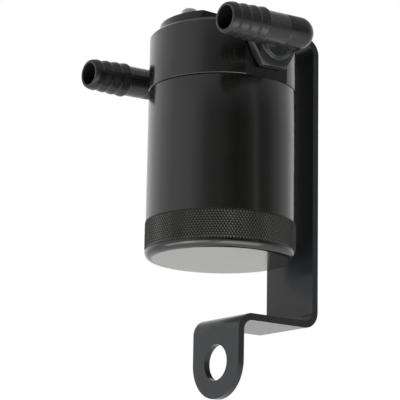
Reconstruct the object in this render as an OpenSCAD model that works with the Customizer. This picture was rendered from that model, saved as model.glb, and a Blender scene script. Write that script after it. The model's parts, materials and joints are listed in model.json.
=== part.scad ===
// Oil catch can: a billet head with two moulded hose elbows, a cup that unscrews from it,
// a baffle and a bronze filter inside, and a folded strap bracket that carries it all.
// Origin: centre of the bracket's fixing hole, on the tab's front face. +Z is up, the hoses
// leave towards -Y, and the can stands upright behind the tab's front face.

/* [Can] */
// Outside diameter of the can and of the head
can_d = 75; // [72:0.5:84]
// Height of the can from its base to its rim
can_h = 86.4; // [80:0.2:120]
// Thickness of the can's wall
can_wall = 3.9; // [3.6:0.1:5]
// Thickness of the can's floor
floor_t = 5; // [3:0.5:8]
// Radius of the round between the base and the grip band
base_round = 3.6; // [1.5:0.1:4]
// Radius of the round inside the can, between floor and wall
inner_round = 3; // [1:0.5:6]
// Height of the grip band above the base round
grip_h = 15.6; // [8:0.1:30]
// How far the grip band stands proud of the wall
grip_proud = 0.4; // [0.2:0.05:1]
// Small chamfer at the rim, the shoulder and the grip band's edges
edge_break = 0.4; // [0.2:0.05:0.6]

/* [Head] */
// Height of the head from its shoulder to its top face
head_h = 28.8; // [28:0.2:36]
// Chamfer round the head's top edge
head_chamfer = 1.2; // [0.5:0.1:2]
// Diameter of the raised seat that the bracket is screwed to
seat_d = 65.2; // [60:0.2:68]
// Height of the raised seat
seat_h = 2; // [0.5:0.1:3]
// Distance from the can's axis to the flat faces that carry the elbows
flat_x = 35; // [34:0.1:36]
// Length of the threaded spigot that goes into the can
spigot_len = 9; // [8:0.5:11]
// Gap between the can's rim and the head's shoulder
joint_gap = 0.3; // [0.2:0.05:0.5]
// Radial clearance between the spigot and the can
thread_clear = 0.08; // [0.04:0.01:0.1]

/* [Ports] */
// Height of the inlet port's axis above the head's shoulder
port_z = 18.4; // [15.6:0.2:18.4]
// How much lower the outlet port sits than the inlet port
outlet_drop = 1.6; // [0:0.1:2]
// Distance of the ports' axis behind the can's axis
port_back = 1; // [0:0.1:2]
// Diameter of the threaded port bores
port_d = 18; // [17:0.1:20]
// Depth of the port bores from the flat faces
port_depth = 24; // [23:0.5:26]
// Distance from the can's axis to each vertical passage
passage_x = 15; // [14:0.5:16]
// Diameter of the vertical passages above the fittings
passage_d = 10; // [7:0.5:11]

/* [Elbows] */
// Size of the elbow's hexagon across its flats
hex_af = 26; // [23:0.5:27]
// Thickness of the hexagon
hex_t = 5.2; // [4:0.1:8]
// Gap between the head's flat face and the hexagon
hex_gap = 0.4; // [0.2:0.1:3]
// Length of the round collar on the hexagon
collar_t = 2; // [1:0.1:3]
// How much wider the collar is than the tube
collar_step = 4; // [2:0.2:5]
// Length of the elbow's threaded shank inside the head
shank_len = 13; // [8:0.5:13]
// Distance from the head's flat face to the elbow's corner
elbow_reach = 22.1; // [20:0.1:40]
// Distance from the elbow's corner to the mouth of the barb
barb_reach = 45; // [42:0.5:70]
// Diameter of the elbow's plain tube
tube_d = 15.9; // [15:0.1:17]
// How far the ball at the corner stands proud of both legs, in mm
ball_proud = 0.06; // [0.04:0.02:0.3]
// How far the hollow of the corner is cut wider than the bores, in mm
ball_spare = 0.1; // [0.05:0.05:0.4]
// Diameter of the gas bore through the elbow
bore_d = 11.5; // [8:0.1:12.2]
// Number of barbs
barbs = 4; // [2:1:5]
// Distance from one barb to the next
barb_pitch = 5.8; // [4.5:0.1:6.2]
// Diameter over the first barb's crest
barb_first_d = 16.4; // [16:0.1:17]
// Diameter over the last barb's crest
barb_last_d = 17.9; // [17.2:0.1:18.6]
// Diameter of the mouth's rim
mouth_d = 14.8; // [14:0.1:15.4]
// Angle by which the hose ends dip below the horizontal
elbow_dip = 2.2; // [0:0.1:10]
// Distance from the last barb to the fine ring line round the tube
ring_back = 10.6; // [4:0.2:12]

/* [Bracket] */
// Width of the steel strap
strap_w = 36.2; // [30:0.2:44]
// Thickness of the steel strap
strap_t = 3.5; // [2:0.1:4]
// Inside radius of the bends
bend_r = 5; // [3:0.1:7]
// Diameter of the fixing hole in the tab
hole_d = 18; // [8:0.5:20]
// Height of the lower leg's top face above the fixing hole
leg_rise = 23.4; // [20:0.2:40]
// Free height between the lower leg and the can's base
under_can = 27.8; // [15:0.2:45]
// Distance from the tab's front face back to the can's axis
axis_back = 1.8; // [0:0.1:20]
// Gap between the can and the strap's upright leg
strap_gap = 8.3; // [4:0.1:15]
// Corner radius at the front of the top flange
flange_corner = 2; // [1:0.5:5]

/* [Bracket screws] */
// Distance from the seat's edge in to each bracket screw
screw_inset = 10.8; // [8:0.2:11]
// Thread diameter of the bracket screws
screw_d = 5; // [4:0.5:6]
// Length of the bracket screws under their heads
screw_len = 16; // [10:1:18]
// Outside diameter of the washers
washer_d = 10; // [9:0.5:12]
// Thickness of the washers
washer_t = 1; // [0.5:0.1:1.6]

/* [Inside] */
// Diameter of the drop tube
drop_d = 12; // [8:0.5:13]
// Wall thickness of the drop tube
drop_wall = 1.25; // [0.8:0.05:2]
// How far the drop tube reaches below the baffle plate
drop_below = 9.5; // [3:0.5:14]
// Length of the spacers between head and baffle plate
spacer_len = 30; // [28:0.5:40]
// Diameter of the spacers
spacer_d = 8; // [6:0.5:9]
// Gap between the baffle plate's edge and the can's wall
baffle_gap = 2.1; // [1:0.1:4]
// Thickness of the baffle plate
baffle_t = 1.5; // [0.8:0.1:3]
// Thickness of the washers under the baffle plate
baffle_washer_t = 0.8; // [0.5:0.1:1.5]
// Diameter of the perforations
perf_d = 3.2; // [2:0.1:4]
// Distance from one perforation to the next
perf_pitch = 6; // [5:0.5:10]
// Thread diameter of the baffle screws
baffle_screw_d = 4; // [3:0.5:5]
// How far the baffle screws reach into the head
baffle_bite = 12; // [8:0.5:14]
// Depth that each tapped hole has beyond its screw
hole_spare = 1.5; // [0.5:0.1:2]
// Diameter of the filter fitting's threaded shank
filter_shank_d = 13; // [10:0.5:13]
// Thickness of the filter fitting's hexagon
filter_hex_t = 5; // [3:0.5:7]
// Length of the stem that carries the filter element
filter_stem_len = 5; // [3:0.5:8]
// Diameter of the filter element
filter_d = 14; // [12:0.5:16]
// Length of the filter element
filter_len = 20; // [12:0.5:24]
// Wall thickness of the filter element
filter_wall = 2.5; // [1.5:0.1:3]
// Size of the filter's hexagon across its flats
filter_af = 17; // [15:0.5:19]

/* [Hidden] */
$fn = 96;
eps = 0.01;
fit = 0.05;
can_r = can_d/2;
bore_r = can_r - can_wall;
grip_r = can_r + grip_proud;
seal_land = 1.5;
seal_depth = 2;
seal_clear = 0.1;
spigot_r = bore_r - thread_clear;
flat_cut = can_r;

outer_r = bend_r + strap_t;
leg_top = leg_rise;
can_z = leg_rise + under_can;
head_z = can_z + can_h + joint_gap;
flange_z = head_z + head_h + seat_h;
upright_y = axis_back + can_r + strap_gap;
bend_y = upright_y + strap_t - outer_r;

screw_y = seat_d/2 - screw_inset;
screw_head_d = 1.7*screw_d;
screw_head_h = screw_d;
screw_crown = 0.3*screw_d;
screw_hole_depth = screw_len - strap_t - washer_t + hole_spare;
baffle_hole_depth = baffle_bite + hole_spare;
hex_key = 0.8*screw_d;
slot_fit = 0.25;

neck_d = tube_d + 0.3*collar_step;
collar_d = tube_d + collar_step;
shank_d = port_d - 2*fit;
barb_lead = 1.2;
barb_drop = 0.85;
barb_ahead = 2.6;
ring_depth = 0.35;
ring_w = 0.6;
ring_at = barb_lead + barbs*barb_pitch + ring_back;

baffle_screw_len = spacer_len + baffle_t + baffle_washer_t + baffle_bite;
filter_shank_len = spigot_len - 1;
stem_d = filter_d - 2*filter_wall;

// Places a shape whose z = 0 is the can's base, on the can's axis
module at_can() { translate([0, axis_back, can_z]) children(); }

// Places a shape whose z = 0 is the head's shoulder, on the can's axis
module at_head() { translate([0, axis_back, head_z]) children(); }

// A round bar along Z with the same chamfer at both ends
module bar(d, h, c = 0) {
    rotate_extrude() polygon([[0, 0], [d/2 - c, 0], [d/2, c], [d/2, h - c], [d/2 - c, h], [0, h]]);
}

// A hexagonal bar along Z whose corners are turned off at both ends
module hex_bar(af, h, turned = 0.93) {
    corner = af/cos(30);
    slope = (corner - af*turned)/2*tan(30);
    intersection() {
        cylinder(d = corner, h = h, $fn = 6);
        rotate_extrude() polygon([[0, 0], [af*turned/2, 0], [corner/2, slope],
                                  [corner/2, h - slope], [af*turned/2, h], [0, h]]);
    }
}

// A flat washer standing on z = 0
module washer(d, hole, t) {
    difference() {
        cylinder(d = d, h = t);
        translate([0, 0, -eps]) cylinder(d = hole, h = t + 2*eps);
    }
}

// The cup: straight bore with the thread at its mouth, a counterbore for the seal, a raised
// grip band and a rounded base, all turned in one piece
module can() {
    color("#17181a") at_can() rotate_extrude() difference() {
        union() {
            polygon([[0, base_round], [can_r, base_round], [can_r, can_h - edge_break],
                     [can_r - edge_break, can_h], [0, can_h]]);
            polygon([[0, base_round], [grip_r, base_round], [grip_r, base_round + grip_h - edge_break],
                     [grip_r - edge_break, base_round + grip_h], [0, base_round + grip_h]]);
            polygon([[0, 0], [grip_r - base_round, 0], [grip_r - base_round, base_round],
                     [0, base_round]]);
            intersection() {
                translate([grip_r - base_round, base_round]) circle(r = base_round);
                square([grip_r, base_round]);
            }
        }
        translate([0, floor_t + inner_round]) square([bore_r, can_h]);
        translate([0, floor_t]) square([bore_r - inner_round, can_h]);
        translate([bore_r - inner_round, floor_t + inner_round]) circle(r = inner_round);
        translate([0, can_h - seal_depth]) square([can_r - seal_land, can_h]);
    }
}

// The sealing ring in the counterbore of the can's mouth
module can_seal() {
    room = can_r - seal_land - bore_r;
    ring = min(room, seal_depth)/2 - seal_clear;
    color("#101010") at_can()
        translate([0, 0, can_h - seal_depth + ring + seal_clear/2]) rotate_extrude()
            translate([can_r - seal_land - seal_clear - ring, 0]) circle(r = ring, $fn = 48);
}

// Height of a port's axis above the shoulder: side 1 is the inlet, side -1 the outlet
function port_height(side) = port_z - (side < 0 ? outlet_drop : 0);

// The billet head: shoulder, raised seat, two flats with threaded ports, two vertical
// passages and the tapped holes for the bracket and baffle screws
module head() {
    color("#17181a") at_head() difference() {
        rotate_extrude() polygon([
            [0, -spigot_len], [spigot_r - edge_break, -spigot_len], [spigot_r, -spigot_len + edge_break],
            [spigot_r, 0], [can_r - edge_break, 0], [can_r, edge_break],
            [can_r, head_h - head_chamfer], [can_r - head_chamfer, head_h],
            [seat_d/2, head_h], [seat_d/2, head_h + seat_h], [0, head_h + seat_h]]);
        for (side = [-1, 1]) {
            translate([side*(flat_x + flat_cut), 0, head_h/2 + spigot_len/2])
                cube([2*flat_cut, 2*can_d, head_h + spigot_len], center = true);
            translate([side*(flat_x + eps), port_back, port_height(side)]) rotate([0, -90*side, 0])
                cylinder(d = port_d, h = port_depth + eps);
            translate([side*passage_x, 0, -spigot_len])
                cylinder(d = passage_d, h = spigot_len + port_height(side));
            translate([0, side*screw_y, head_h + seat_h - screw_hole_depth])
                cylinder(d = screw_d + 2*fit, h = screw_hole_depth + eps, $fn = 48);
            translate([0, side*screw_y, -spigot_len - eps])
                cylinder(d = baffle_screw_d + 2*fit, h = baffle_hole_depth, $fn = 48);
        }
        translate([passage_x, 0, -spigot_len - eps])
            cylinder(d = drop_d + 2*fit, h = spigot_len + eps);
        translate([-passage_x, 0, -spigot_len - eps])
            cylinder(d = filter_shank_d + 2*fit, h = spigot_len + eps);
    }
}

// Crest diameter and place of each barb, counted from the corner towards the mouth
function barb_top(i) = barb_last_d + (barb_first_d - barb_last_d)*i/(barbs - 1);
function barb_crest(i) = barb_reach - barb_lead - (barbs - i)*barb_pitch + barb_ahead;
function barb_points() = [for (i = [0:barbs - 1])
    each [[barb_crest(i) - barb_drop*0.6, i == 0 ? tube_d/2 : barb_top(i - 1)/2 - barb_drop - 0.1],
          [barb_crest(i), barb_top(i)/2 - 0.15], [barb_crest(i) + 0.5, barb_top(i)/2],
          [barb_crest(i) + 1.3, barb_top(i)/2 - 0.05]]];

// The straight hose end from the elbow's corner to its mouth, with the barbs turned on it
module hose_end() {
    ring = barb_reach - ring_at;
    rotate([90, 0, 0]) rotate_extrude() polygon([for (p = concat(
        [[0, 0], [0, tube_d/2], [ring - ring_w, tube_d/2],
         [ring - ring_w/2, tube_d/2 - ring_depth], [ring, tube_d/2]],
        barb_points(),
        [[barb_reach - barb_lead, mouth_d/2 + 0.35], [barb_reach - 0.4, mouth_d/2],
         [barb_reach, mouth_d/2 - 0.4], [barb_reach, 0]])) [p[1], p[0]]]);
}

// One moulded elbow: its port axis is X with x = 0 on the head's flat face, its corner lies
// elbow_reach out, and its hose end points to -Y
module elbow() {
    difference() {
        union() {
            rotate([0, 90, 0]) rotate_extrude() polygon([
                [0, -shank_len], [shank_d/2 - 1, -shank_len], [shank_d/2, 1 - shank_len],
                [shank_d/2, 0], [shank_d/2 - 0.8, hex_gap], [0, hex_gap]]);
            translate([hex_gap, 0, 0]) rotate([0, 90, 0]) rotate([0, 0, 90]) hex_bar(hex_af, hex_t, 0.98);
            translate([hex_gap + hex_t - eps, 0, 0]) rotate([0, 90, 0]) rotate_extrude() polygon([
                [0, 0], [collar_d/2, 0], [collar_d/2, collar_t - 0.6], [collar_d/2 - 0.6, collar_t],
                [neck_d/2 + 0.4, collar_t], [neck_d/2, collar_t + 0.5],
                [tube_d/2, elbow_reach - hex_gap - hex_t], [0, elbow_reach - hex_gap - hex_t]]);
            translate([elbow_reach, 0, 0]) sphere(d = tube_d + 2*ball_proud);
            translate([elbow_reach, 0, 0]) hose_end();
        }
        translate([-shank_len - eps, 0, 0]) rotate([0, 90, 0])
            cylinder(d = bore_d, h = shank_len + elbow_reach + eps);
        translate([elbow_reach, 0, 0]) sphere(d = bore_d + 2*ball_spare);
        translate([elbow_reach, 0, 0]) rotate([90, 0, 0]) cylinder(d = bore_d, h = barb_reach + eps);
    }
}

module place_elbow(side) {
    at_head() translate([0, port_back, port_height(side)]) mirror([side < 0 ? 1 : 0, 0, 0])
        translate([flat_x, 0, 0]) rotate([elbow_dip, 0, 0]) elbow();
}

module inlet_elbow() { color("#232425") place_elbow(1); }

module outlet_elbow() { color("#232425") place_elbow(-1); }

// One bend of the strap: a quarter ring about the X direction, turned by a in the YZ plane
module strap_bend(y, z, a) {
    translate([0, y, z]) rotate([90, 0, 90]) rotate([0, 0, a])
        linear_extrude(height = strap_w, center = true) intersection() {
            difference() {
                circle(r = outer_r);
                circle(r = bend_r);
            }
            square(outer_r + 1);
        }
}

// Outline of the top flange, whose front edge follows the seat, with its corners rounded off
module flange_outline() {
    corner_x = strap_w/2 - flange_corner;
    corner_y = sqrt(pow(seat_d/2 - flange_corner, 2) - corner_x*corner_x);
    translate([0, axis_back]) {
        intersection() {
            circle(d = seat_d);
            polygon([[0, 0], [-corner_x, -corner_y]*2, [corner_x, -corner_y]*2]);
        }
        translate([-strap_w/2, -corner_y]) square([strap_w, bend_y - axis_back + corner_y]);
        for (side = [-1, 1]) translate([side*corner_x, -corner_y]) circle(r = flange_corner, $fn = 48);
    }
}

// The folded strap: tab with the fixing hole, lower leg, upright leg and top flange
module bracket() {
    color("#1b1b1c") difference() {
        union() {
            rotate([90, 0, 0]) translate([0, 0, -strap_t]) linear_extrude(height = strap_t) {
                circle(d = strap_w);
                translate([-strap_w/2, 0]) square([strap_w, leg_top - outer_r]);
            }
            strap_bend(outer_r, leg_top - outer_r, 90);
            translate([-strap_w/2, outer_r, leg_top - strap_t])
                cube([strap_w, bend_y - outer_r, strap_t]);
            strap_bend(bend_y, leg_top - strap_t + outer_r, 270);
            translate([-strap_w/2, upright_y, leg_top - strap_t + outer_r])
                cube([strap_w, strap_t, flange_z + strap_t - leg_top + strap_t - 2*outer_r]);
            strap_bend(bend_y, flange_z + strap_t - outer_r, 0);
            translate([0, 0, flange_z]) linear_extrude(height = strap_t) flange_outline();
        }
        rotate([90, 0, 0]) cylinder(d = hole_d, h = 4*strap_t, center = true);
        for (side = [-1, 1]) translate([0, axis_back + side*screw_y, flange_z - eps])
            cylinder(d = screw_d + 2*slot_fit, h = strap_t + 2*eps, $fn = 48);
    }
}

// A socket-head screw whose head stands on z = 0 and whose shank goes down
module socket_screw(d, len) {
    difference() {
        union() {
            rotate_extrude() polygon([[0, 0], [screw_head_d/2, 0],
                [screw_head_d/2, screw_head_h - screw_crown],
                [screw_head_d/2 - 0.3*screw_crown, screw_head_h - 0.4*screw_crown],
                [screw_head_d/2 - screw_crown, screw_head_h], [0, screw_head_h]]);
            translate([0, 0, -len]) bar(d, len + eps, 0.5);
        }
        translate([0, 0, screw_head_h/2]) cylinder(d = hex_key/cos(30), h = screw_head_h, $fn = 6);
    }
}

module place_bracket_screw(side) {
    translate([0, axis_back + side*screw_y, flange_z + strap_t]) children();
}

module bracket_screw(side) {
    color("silver") place_bracket_screw(side) translate([0, 0, washer_t]) socket_screw(screw_d, screw_len);
}

module bracket_washer(side) {
    color("silver") place_bracket_screw(side) washer(washer_d, screw_d + 2*slot_fit, washer_t);
}

module bracket_screw_front() { bracket_screw(-1); }

module bracket_screw_rear() { bracket_screw(1); }

module bracket_washer_front() { bracket_washer(-1); }

module bracket_washer_rear() { bracket_washer(1); }

// The tube that leads the gas from the inlet down below the baffle plate
module drop_tube() {
    len = spigot_len + spacer_len + baffle_t + drop_below;
    color("#9c9ea2") at_head() translate([passage_x, 0, -len]) difference() {
        cylinder(d = drop_d, h = len);
        translate([0, 0, -eps]) cylinder(d = drop_d - 2*drop_wall, h = len + 2*eps);
    }
}

function clear_of(p, c, d) = norm(p - c) > (d + perf_d)/2 + 1;
function perf_row(j) = j*perf_pitch*sqrt(3)/2;
function perf_open(p, r) = norm(p) < r - perf_d && clear_of(p, [passage_x, 0], drop_d)
    && clear_of(p, [0, screw_y], spacer_d) && clear_of(p, [0, -screw_y], spacer_d);

// The perforated plate that the gas rises through
module baffle_plate() {
    plate_r = bore_r - baffle_gap;
    n = ceil(plate_r/perf_pitch) + 2;
    spots = [for (j = [-n:n]) for (i = [-n:n])
        let (p = [(i + (j % 2 == 0 ? 0 : 0.5))*perf_pitch, perf_row(j)]) if (perf_open(p, plate_r)) p];
    color("#a9abae") at_head() translate([0, 0, -spigot_len - spacer_len - baffle_t]) difference() {
        cylinder(r = plate_r, h = baffle_t);
        translate([passage_x, 0, -eps]) cylinder(d = drop_d + 2*fit, h = baffle_t + 2*eps);
        for (side = [-1, 1]) translate([0, side*screw_y, -eps])
            cylinder(d = baffle_screw_d + 2*slot_fit, h = baffle_t + 2*eps, $fn = 48);
        for (p = spots) translate([p[0], p[1], -eps]) cylinder(d = perf_d, h = baffle_t + 2*eps, $fn = 24);
    }
}

module place_baffle_screw(side, drop) {
    at_head() translate([0, side*screw_y, -spigot_len - drop]) children();
}

module baffle_spacer(side) {
    color("#b4b6b8") place_baffle_screw(side, spacer_len) difference() {
        bar(spacer_d, spacer_len, 0.3);
        translate([0, 0, -eps]) cylinder(d = baffle_screw_d + 2*slot_fit, h = spacer_len + 2*eps, $fn = 48);
    }
}

module baffle_washer(side) {
    color("silver") place_baffle_screw(side, spacer_len + baffle_t + baffle_washer_t)
        washer(2.2*baffle_screw_d, baffle_screw_d + 2*slot_fit, baffle_washer_t);
}

// A pan-head screw with a hexagon socket, pointing up into the head
module baffle_screw(side) {
    head_h = 0.6*baffle_screw_d;
    color("silver") place_baffle_screw(side, spacer_len + baffle_t + baffle_washer_t) difference() {
        union() {
            translate([0, 0, -0.2]) bar(baffle_screw_d, baffle_screw_len + 0.2, 0.4);
            mirror([0, 0, 1]) rotate_extrude() polygon([
                [0, 0], [0.95*baffle_screw_d, 0], [0.95*baffle_screw_d, 0.4*head_h],
                [0.7*baffle_screw_d, head_h], [0, head_h]]);
        }
        translate([0, 0, -head_h - eps])
            cylinder(d = 0.6*baffle_screw_d/cos(30), h = 0.7*head_h, $fn = 6);
    }
}

module baffle_spacer_front() { baffle_spacer(-1); }

module baffle_spacer_rear() { baffle_spacer(1); }

module baffle_washer_front() { baffle_washer(-1); }

module baffle_washer_rear() { baffle_washer(1); }

module baffle_screw_front() { baffle_screw(-1); }

module baffle_screw_rear() { baffle_screw(1); }

// Places a shape whose z = 0 is the spigot's end face, on the outlet's passage
module at_filter() { at_head() translate([-passage_x, 0, -spigot_len]) children(); }

// The brass fitting that screws into the outlet's passage and carries the filter
module filter_nut() {
    color("#b08d4a") at_filter() difference() {
        union() {
            translate([0, 0, -1]) bar(filter_shank_d, filter_shank_len + 1, 0.5);
            translate([0, 0, -filter_hex_t]) hex_bar(filter_af, filter_hex_t, 0.96);
            translate([0, 0, -filter_hex_t - filter_stem_len])
                cylinder(d = stem_d, h = filter_stem_len + 1);
        }
        translate([0, 0, -filter_hex_t - filter_stem_len - eps])
            cylinder(d = stem_d - 2, h = filter_hex_t + filter_stem_len + filter_shank_len + 2*eps);
    }
}

// The sintered bronze cup that the gas passes through on its way out
module filter_element() {
    tip = filter_d/2 - 2;
    color("#9a7440") at_filter() translate([0, 0, -filter_hex_t - filter_len])
    rotate_extrude() difference() {
        union() {
            translate([0, tip]) square([filter_d/2, filter_len - tip]);
            intersection() {
                translate([filter_d/2 - tip, tip]) circle(r = tip);
                square([filter_d/2, tip]);
            }
            square([filter_d/2 - tip, tip]);
        }
        translate([0, filter_wall + 1]) square([stem_d/2 + fit, filter_len]);
    }
}

head();
can();
can_seal();
inlet_elbow();
outlet_elbow();
bracket();
bracket_screw_front();
bracket_screw_rear();
bracket_washer_front();
bracket_washer_rear();
drop_tube();
baffle_plate();
baffle_spacer_front();
baffle_spacer_rear();
baffle_washer_front();
baffle_washer_rear();
baffle_screw_front();
baffle_screw_rear();
filter_nut();
filter_element();
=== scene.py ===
"""Looks of a baffled oil catch can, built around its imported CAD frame.

The cup is turned anew with its diamond grip band and mouth thread, the head gets the thread of
its spigot, the strap, elbows and washers get broken edges, the two screws get fluted heads, and
every piece gets a procedural material. Sizes are in millimetres, and places are in metres in
the CAD's own frame.
"""

from __future__ import annotations

import json
import logging
import math
from dataclasses import dataclass, field
from enum import Enum
from typing import Callable, Sequence

import bmesh
import bpy
from mathutils import Matrix, Vector

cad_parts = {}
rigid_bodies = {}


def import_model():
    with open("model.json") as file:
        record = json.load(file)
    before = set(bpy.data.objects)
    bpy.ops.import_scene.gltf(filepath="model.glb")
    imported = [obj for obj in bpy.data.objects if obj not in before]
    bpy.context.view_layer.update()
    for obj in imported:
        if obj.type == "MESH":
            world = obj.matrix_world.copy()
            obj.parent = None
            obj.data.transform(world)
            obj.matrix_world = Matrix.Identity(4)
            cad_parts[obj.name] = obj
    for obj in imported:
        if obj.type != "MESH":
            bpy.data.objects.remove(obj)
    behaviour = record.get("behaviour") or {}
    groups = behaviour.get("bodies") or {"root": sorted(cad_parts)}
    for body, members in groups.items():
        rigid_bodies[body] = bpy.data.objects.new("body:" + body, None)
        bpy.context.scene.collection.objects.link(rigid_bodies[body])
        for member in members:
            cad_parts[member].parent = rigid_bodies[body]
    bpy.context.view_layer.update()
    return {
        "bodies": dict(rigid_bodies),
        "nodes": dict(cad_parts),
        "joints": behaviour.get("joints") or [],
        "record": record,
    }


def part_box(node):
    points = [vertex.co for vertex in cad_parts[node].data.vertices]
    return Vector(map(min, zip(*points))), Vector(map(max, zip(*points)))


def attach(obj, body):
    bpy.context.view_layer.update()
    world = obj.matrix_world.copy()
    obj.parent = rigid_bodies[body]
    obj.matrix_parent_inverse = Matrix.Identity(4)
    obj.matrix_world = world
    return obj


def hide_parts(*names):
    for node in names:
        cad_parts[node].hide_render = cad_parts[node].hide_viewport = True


LOG = logging.getLogger("catch_can")
MM = 0.001
NEAR = 0.03  # millimetres within which a vertex counts as lying on a nominal radius or height
WELD = 0.002  # millimetres within which vertices are merged
FLAT_DEG = 0.4  # faces that meet at less than this are one flat face
SIDES = ("front", "rear")
Profile = list[tuple[float, float]]
Radius = Callable[[float, float], float]


def linear(code: str) -> tuple[float, float, float, float]:
    """Turns an sRGB hex code into a linear colour.

    Args:
        code: six hex digits with a leading hash.

    Returns:
        Linear red, green, blue and an alpha of one.
    """
    parts = [int(code[i : i + 2], 16) / 255 for i in (1, 3, 5)]
    r, g, b = (c / 12.92 if c <= 0.04045 else ((c + 0.055) / 1.055) ** 2.4 for c in parts)
    return (r, g, b, 1.0)


class Grain(Enum):
    """What the fine surface of a finish is made of."""

    TURNED = "rings round the can's axis"
    COATED = "soft waves of a baked coat"
    MOULDED = "fine texture, flow marks and the mould's parting line"
    PLAIN = "even fine grain"
    SINTERED = "small balls baked together"


@dataclass(frozen=True)
class Finish:
    """One surface finish.

    Attributes:
        name: Blender material name.
        slot: the record's material slot; not used.
        colour: base colour as sRGB hex.
        colour_far: second colour that large soft patches drift to.
        metallic: metallic share.
        roughness: mean roughness.
        roughness_spread: how far the roughness drifts either way.
        grain: kind of fine surface.
        grain_mm: width of one grain.
        grain_depth_mm: height of the grain's bump.
        specular: specular level, which a metal leaves alone.
        coat: weight of a clear top layer.
        coat_roughness: roughness of that layer.
    """

    name: str
    slot: str
    colour: str
    colour_far: str
    metallic: float
    roughness: float
    roughness_spread: float
    grain: Grain
    grain_mm: float
    grain_depth_mm: float
    specular: float = 0.5
    coat: float = 0.0
    coat_roughness: float = 0.05


# Anodised aluminium, turned: black dye under a clear oxide hides the metal, so it is a satin
# black whose reflections keep their shape. Real turning rings are about 0.1 mm apart, too fine
# to show, so they are drawn 0.35 mm apart.
ANODISED = Finish("anodised_black", "black_anodised", "#10100e", "#0c0c0a", metallic=0.0,
                  roughness=0.17, roughness_spread=0.03, grain=Grain.TURNED, grain_mm=0.35,
                  grain_depth_mm=0.0002, specular=1.0)
# Anodised aluminium, faced on the lathe: the flat base mirrors the pale floor at a low angle, so
# it shows light grey. Its rings are drawn 0.5 mm apart, coarser than real, so that they show.
FACED = Finish("anodised_faced", "black_anodised", "#121312", "#0e0f0e", metallic=0.0,
               roughness=0.2, roughness_spread=0.03, grain=Grain.TURNED, grain_mm=0.5,
               grain_depth_mm=0.0008, specular=1.0, coat=1.0, coat_roughness=0.14)
# Anodised aluminium, knurled: the diamonds are duller than the turned wall, and their colour is
# lighter, a painted sheen for the light that their many facets scatter; only their flats glint.
KNURL_SHEEN = Finish("anodised_knurl_sheen", "black_anodised", "#252522", "#20201e", metallic=0.0,
                 roughness=0.19, roughness_spread=0.03, grain=Grain.PLAIN, grain_mm=0.3,
                 grain_depth_mm=0.002, specular=0.42)
# Nitrile rubber, moulded: an even, dull black.
RUBBER = Finish("seal_rubber", "seal_rubber", "#141414", "#1c1c1b", metallic=0.0, roughness=0.5,
                roughness_spread=0.06, grain=Grain.PLAIN, grain_mm=0.3, grain_depth_mm=0.004)
# Glass-filled nylon, moulded: a slightly blue black with a broken, half-glossy skin. The fibres
# are finer than a pixel, so the texture is drawn at 0.28 mm.
NYLON = Finish("moulded_nylon", "moulded_black", "#1f2021", "#242526", metallic=0.0,
               roughness=0.24, roughness_spread=0.06, grain=Grain.MOULDED, grain_mm=0.28,
               grain_depth_mm=0.009, specular=0.55)
# The same nylon in the elbows' bores, darker and duller: its darker colour is painted shade
# for the dark inside of the bore.
SHADED_BORE = Finish("moulded_nylon_shaded_bore", "moulded_black", "#151516", "#19191a", metallic=0.0,
                    roughness=0.6, roughness_spread=0.06, grain=Grain.MOULDED, grain_mm=0.28,
                    grain_depth_mm=0.006, specular=0.12)
# Steel, powder coated: a thick smooth polyester layer in a cool charcoal, glossy at low angles
# and flat seen straight on.
STRAP = Finish("coated_strap", "strap_black", "#2b2d2f", "#292a2c", metallic=0.0, roughness=0.3,
               roughness_spread=0.02, grain=Grain.COATED, grain_mm=0.4, grain_depth_mm=0.0002,
               specular=0.1, coat=0.7, coat_roughness=0.2)
# Steel, zinc plated: a bright, slightly milky metal.
STEEL = Finish("bright_steel", "bright_steel", "#e0e1e2", "#d2d3d5", metallic=1.0, roughness=0.4,
               roughness_spread=0.06, grain=Grain.PLAIN, grain_mm=0.12, grain_depth_mm=0.0012)
# Aluminium, drawn and bare: a soft grey sheen.
ALUMINIUM = Finish("plain_aluminium", "plain_aluminium", "#bfc2c6", "#adb0b5", metallic=1.0,
                   roughness=0.34, roughness_spread=0.06, grain=Grain.PLAIN, grain_mm=0.15,
                   grain_depth_mm=0.0016)
# Brass, machined: a warm yellow with clear highlights.
BRASS = Finish("machined_brass", "brass", "#c8a35a", "#b18c46", metallic=1.0, roughness=0.26,
               roughness_spread=0.05, grain=Grain.PLAIN, grain_mm=0.15, grain_depth_mm=0.0016)
# Bronze, sintered from 0.4 mm balls: brown, dull and pebbled.
BRONZE = Finish("sintered_bronze", "sintered_bronze", "#8d6a3c", "#6f5230", metallic=1.0,
                roughness=0.55, roughness_spread=0.1, grain=Grain.SINTERED, grain_mm=0.4,
                grain_depth_mm=0.12)


class Graph:
    """A node tree that one helper fills."""

    def __init__(self, tree: bpy.types.NodeTree) -> None:
        """Takes a tree and empties it."""
        self.tree = tree
        tree.nodes.clear()

    def add(self, kind: str, inputs: dict | None = None, **settings: object) -> bpy.types.Node:
        """Adds one node with its settings and links.

        Args:
            kind: node type name without the "ShaderNode" prefix.
            inputs: by input name or number, a value, an output, or a node whose first output
                is meant.
            settings: node properties.

        Returns:
            The new node.
        """
        node = self.tree.nodes.new("ShaderNode" + kind)
        for key, value in settings.items():
            setattr(node, key, value)
        for key, value in (inputs or {}).items():
            source = value.outputs[0] if isinstance(value, bpy.types.Node) else value
            if isinstance(source, bpy.types.NodeSocket):
                self.tree.links.new(source, node.inputs[key])
            else:
                node.inputs[key].default_value = source
        return node


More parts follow.
